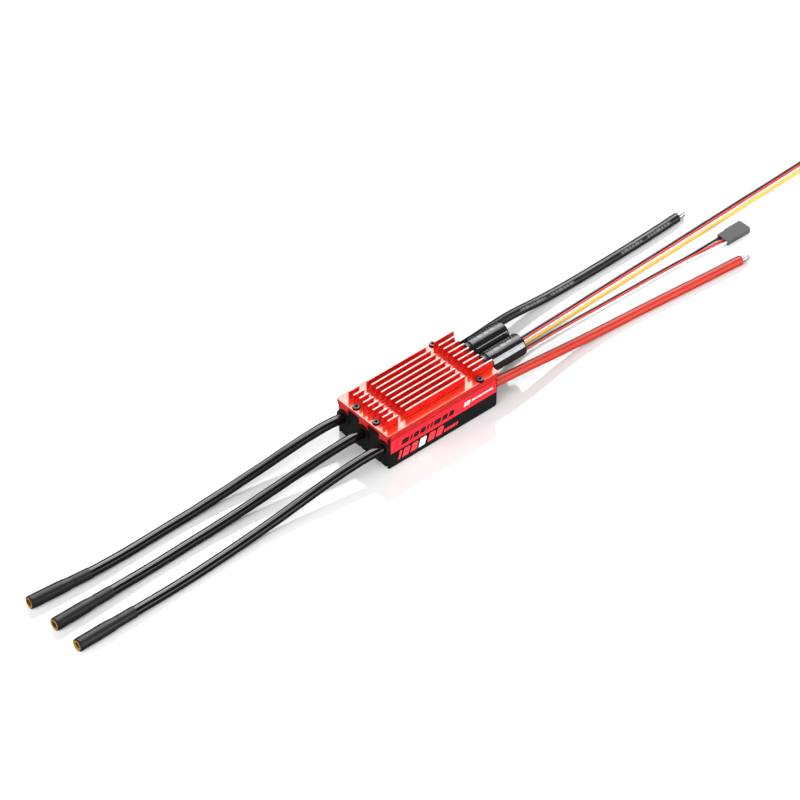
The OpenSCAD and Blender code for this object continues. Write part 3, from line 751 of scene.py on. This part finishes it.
capacitor_sleeve(1)
capacitor_sleeve(2)


# ---- Cap screws ----

SCREW_PLACES = in_mm([
    (-33.35, 7.3, 21), (-33.35, -7.3, 21), (25.05, 17.3, 21), (25.05, -17.3, 21)])
HEAD_R = 1.9 * MM
HEAD_H = 2 * MM
KNURLS = 20
HEX_R = 1.75 / 2 * MM
HEX_DEPTH = 1.1 * MM
SHANK_R = 1.1 * MM


def hexagon(j, n, r, turn):
    """Point j of n on a turned hexagon whose corners are r from its centre."""
    a = 2 * math.pi * j / n
    off = ((a - turn) % (math.pi / 3)) - math.pi / 6
    d = r * math.cos(math.pi / 6) / math.cos(off)
    return Vector((d * math.cos(a), d * math.sin(a), 0))


def cap_screws():
    """Socket-head screws with knurled sides."""
    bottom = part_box("cover_screws")[0].z
    n = KNURLS * 6
    bm = bmesh.new()
    for i, place in enumerate(SCREW_PLACES):
        turn = 0.4 + 0.9 * i
        rings = []
        for z, r, knurl in (
                (bottom - place.z, SHANK_R * 0.75, 0), (bottom - place.z + 0.4 * MM, SHANK_R, 0),
                (0, SHANK_R, 0), (0, HEAD_R - 0.1 * MM, 0), (0.1 * MM, HEAD_R, 1),
                (1.66 * MM, HEAD_R, 1), (1.74 * MM, HEAD_R - 0.09 * MM, 0),
                (1.9 * MM, HEAD_R - 0.1 * MM, 0), (HEAD_H, HEAD_R - 0.2 * MM, 0),
                (HEAD_H, HEX_R + 0.14 * MM, 0)):
            ring = []
            for j in range(n):
                a = 2 * math.pi * j / n
                rr = r - 0.07 * MM * knurl * (0.5 - 0.5 * math.cos(KNURLS * a))
                ring.append(place + Vector((rr * math.cos(a), rr * math.sin(a), z)))
            rings.append(ring)
        for z, r in ((-0.05 * MM, 1.03), (-0.12 * MM, 1), (-HEX_DEPTH, 1), (-HEX_DEPTH, 0.6)):
            up = UP * (HEAD_H + z)
            rings.append([place + up + hexagon(j, n, r * HEX_R, turn) for j in range(n)])
        add_rings(bm, rings)
    piece = new_piece("socket_head_screws", bm, [SCREW], 35)
    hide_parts("cover_screws")


cap_screws()


# ---- Printed marks ----

FILM_MARK_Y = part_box("front_label")[0].y - 0.008 * MM
CASE_MARK_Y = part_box("lower_case")[0].y - 0.012 * MM
SLANT = 0.32
RED_BAR, WHITE_BAR, BLACK_BAR = range(3)


def bar(bm, x, z, width, height, material, y, cut=0.0):
    """One slanted bar, in millimetres apart from y. cut clips its upper right corner."""
    lean = SLANT * height
    points = [(x, z), (x + width, z), (x + width + lean * (1 - cut), z + height * (1 - cut)),
              (x + width + lean - cut * width, z + height), (x + lean, z + height)]
    if not cut:
        points.pop(2)
    face = bm.faces.new([bm.verts.new((px * MM, y, pz * MM)) for px, pz in points])
    face.material_index = material


def side_marks(name, back=False):
    """Plain slanted bars in place of lettering: black and white on the film, red and white below.
    Drawn on the front side, and turned half round for the back."""
    bm = bmesh.new()
    x = -27.5
    for width, gap in ((4.6, 0.9), (1.4, 0.8), (3.4, 0.9), (3.4, 0.9), (1.4, 0.8), (1.4, 0.8),
                       (4.6, 0.9), (3.4, 0.9), (3.4, 0.9)):
        bar(bm, x, 11.7, width, 3.1, BLACK_BAR, FILM_MARK_Y, 0.2)
        x += width + gap
    bar(bm, 13.2, 12.2, 1, 2.6, WHITE_BAR, FILM_MARK_Y)
    bar(bm, 14.9, 12.2, 1.9, 2.6, WHITE_BAR, FILM_MARK_Y)
    x = 18.4
    for width in (1.9, 1.2, 2.6, 1.2, 1.9, 2.6):
        bar(bm, x, 13.1, width, 0.95, WHITE_BAR, FILM_MARK_Y)
        x += width + 0.45
    x = -29.5
    for width, gap, material in (
            (1.5, 1.2, RED_BAR), (4.1, 1.2, RED_BAR), (4.1, 1.2, RED_BAR),
            (4.1, 1.8, WHITE_BAR), (4.1, 1.2, RED_BAR), (4.1, 1.2, RED_BAR)):
        bar(bm, x, 3.2, width, 5, material, CASE_MARK_Y, 0.18)
        x += width + gap
    for width in (1.1, 1.7, 1.1, 1.7, 1.1):
        bar(bm, x, 3.2, width, 1.9, RED_BAR, CASE_MARK_Y)
        x += width + 0.55
    if back:
        bmesh.ops.transform(bm, matrix=Matrix.Rotation(math.pi, 4, "Z"), verts=bm.verts)
    piece = new_object(name, bm, (RED_INK, WHITE_INK, BLACK_INK))
    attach(piece, "root")


side_marks("front_marks")
side_marks("back_marks", back=True)


# ---- CAD nodes that keep their shape ----


def paint_node(node, material, edge):
    """Gives a CAD node its material, and rounds its edges by edge metres."""
    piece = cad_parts[node]
    piece.data.materials.clear()
    piece.data.materials.append(material)
    if edge:
        weld = piece.modifiers.new("weld", "WELD")
        weld.merge_threshold = 0.002 * MM
        planar = piece.modifiers.new("planar", "DECIMATE")
        planar.decimate_type = "DISSOLVE"
        planar.angle_limit = math.radians(0.3)
        bevel = piece.modifiers.new("bevel", "BEVEL")
        bevel.width = edge
        bevel.segments = 2
        bevel.limit_method = "ANGLE"
        bevel.angle_limit = math.radians(40)
        bevel.use_clamp_overlap = True
        normals = piece.modifiers.new("normals", "WEIGHTED_NORMAL")
        normals.keep_sharp = True


for node, material, edge in (
        ("heatsink", RED, 0.2 * MM), ("lower_case", CASE, 0.15 * MM),
        ("front_label", LABEL, 0), ("back_label", LABEL, 0),
        ("thermal_pad", PAD, 0), ("power_board", BOARD, 0), ("mosfets", CHIP, 0),
        ("current_shunts", SHUNT, 0), ("ceramic_capacitors", CERAMIC, 0),
        ("control_board", BOARD, 0), ("board_headers", GOLD, 0), ("microcontroller", CHIP, 0),
        ("gate_drivers", CHIP, 0), ("regulator_coil", FERRITE, 0),
        ("port_grommets", RUBBER, 0.08 * MM), ("capacitor_1", ALUMINIUM, 0),
        ("capacitor_2", ALUMINIUM, 0), ("capacitor_leads", TIN, 0),
        ("phase_wire_cores", TIN, 0), ("battery_wire_cores", TIN, 0),
        ("bullet_socket_1", SOCKET_GOLD, 0.1 * MM), ("bullet_socket_2", SOCKET_GOLD, 0.1 * MM),
        ("bullet_socket_3", SOCKET_GOLD, 0.1 * MM), ("throttle_plug", PLUG, 0.15 * MM),
        ("program_plug", PLUG, 0.15 * MM), ("throttle_contacts", GOLD, 0),
        ("program_contacts", GOLD, 0)):
    paint_node(node, material, edge)


# ---- Floor and light ----


def make_floor():
    """Glossy white table. Reflections on the object see the world below the horizon instead."""
    paint = Paint("floor", (0.7, 0.7, 0.7), 0.1, IOR=1.62)
    paint.tint(paint.ramp(paint.noise(0.5, 2), 0.3, 0.8, 0, 0.3), (0.67, 0.67, 0.67))
    bm = bmesh.new()
    bmesh.ops.create_grid(bm, x_segments=2, y_segments=2, size=10)
    floor = new_object("floor", bm, [paint.made])
    floor.visible_glossy = False


def softbox(name, azimuth, elevation, distance, size, radiance, glossy=True, diffuse=True):
    """Area light facing the object. Azimuth 0 is beyond it along +Y, and 90 is on the -X side."""
    data = bpy.data.lights.new(name, "AREA")
    data.shape = "RECTANGLE"
    data.size, data.size_y = size
    data.energy = radiance * math.pi * size[0] * size[1]
    light = bpy.data.objects.new(name, data)
    bpy.context.scene.collection.objects.link(light)
    a, e = math.radians(azimuth), math.radians(elevation)
    toward = Vector((-math.sin(a) * math.cos(e), math.cos(a) * math.cos(e), math.sin(e)))
    light.location = toward * distance
    light.rotation_mode = "QUATERNION"
    light.rotation_quaternion = toward.to_track_quat("Z", "Y")
    light.visible_glossy = glossy
    light.visible_diffuse = diffuse


WORLD_STOPS = [(-1, 0.03), (-0.8, 0.05), (-0.7, 0.16), (-0.5, 0.18), (-0.04, 0.16), (0, 0.9),
               (0.1, 0.85), (0.17, 0.1), (1, 0.08)]
CLOTH_STOPS = [(-1, 1), (0.5, 1), (0.78, 0.06), (1, 0.06)]
DARK_SIDE = Vector((0.62, 0.7, -0.35)).normalized()


def world_level(tree, value, stops):
    """Grey level that follows value, from -1 to 1, through the given stops."""
    half = tree.nodes.new("ShaderNodeMapRange")
    half.inputs["From Min"].default_value = -1
    tree.links.new(value, half.inputs["Value"])
    ramp = tree.nodes.new("ShaderNodeValToRGB")
    elements = ramp.color_ramp.elements
    while len(elements) < len(stops):
        elements.new(0.5)
    for element, (at, level) in zip(elements, stops):
        element.position = (at + 1) / 2
        element.color = (level, level, level, 1)
    tree.links.new(half.outputs[0], ramp.inputs[0])
    return ramp.outputs[0]


def make_world():
    """Bright horizon under a darker sky, with black cloth low on the far side."""
    world = bpy.data.worlds.new("studio")
    bpy.context.scene.world = world
    world.use_nodes = True
    tree = world.node_tree
    place = tree.nodes.new("ShaderNodeTexCoord").outputs["Generated"]
    split = tree.nodes.new("ShaderNodeSeparateXYZ")
    tree.links.new(place, split.inputs[0])
    facing = tree.nodes.new("ShaderNodeVectorMath")
    facing.operation = "DOT_PRODUCT"
    tree.links.new(place, facing.inputs[0])
    facing.inputs[1].default_value = DARK_SIDE
    sky = world_level(tree, split.outputs[2], WORLD_STOPS)
    cloth = world_level(tree, facing.outputs["Value"], CLOTH_STOPS)
    product = tree.nodes.new("ShaderNodeMix")
    product.data_type = "RGBA"
    product.blend_type = "MULTIPLY"
    product.inputs["Factor"].default_value = 1
    tree.links.new(sky, product.inputs[6])
    tree.links.new(cloth, product.inputs[7])
    tree.links.new(product.outputs[2], tree.nodes["Background"].inputs["Color"])


make_floor()
make_world()
softbox("back_softbox", CAMERA_AZIMUTH, 42.5, 2.6, (1.8, 1.05), 6.5, diffuse=False)
softbox("overhead", -71.6, 61.6, 2.6, (1.1, 1.5), 5, diffuse=False)
softbox("camera_fill", 138.6, 55, 2.4, (2.6, 2.6), 2.6, glossy=False)
softbox("front_key", 205, 13, 2.4, (2.4, 1.2), 9, glossy=False)
softbox("front_strip", 209.5, 8, 2.4, (2.4, 0.7), 2.4, diffuse=False)
softbox("left_strip", 41.4, 9, 2.4, (1.6, 0.7), 4, diffuse=False)
softbox("left_fill", 90, 25, 2.4, (1.5, 1), 14, glossy=False)
bpy.context.scene.view_settings.view_transform = "Standard"
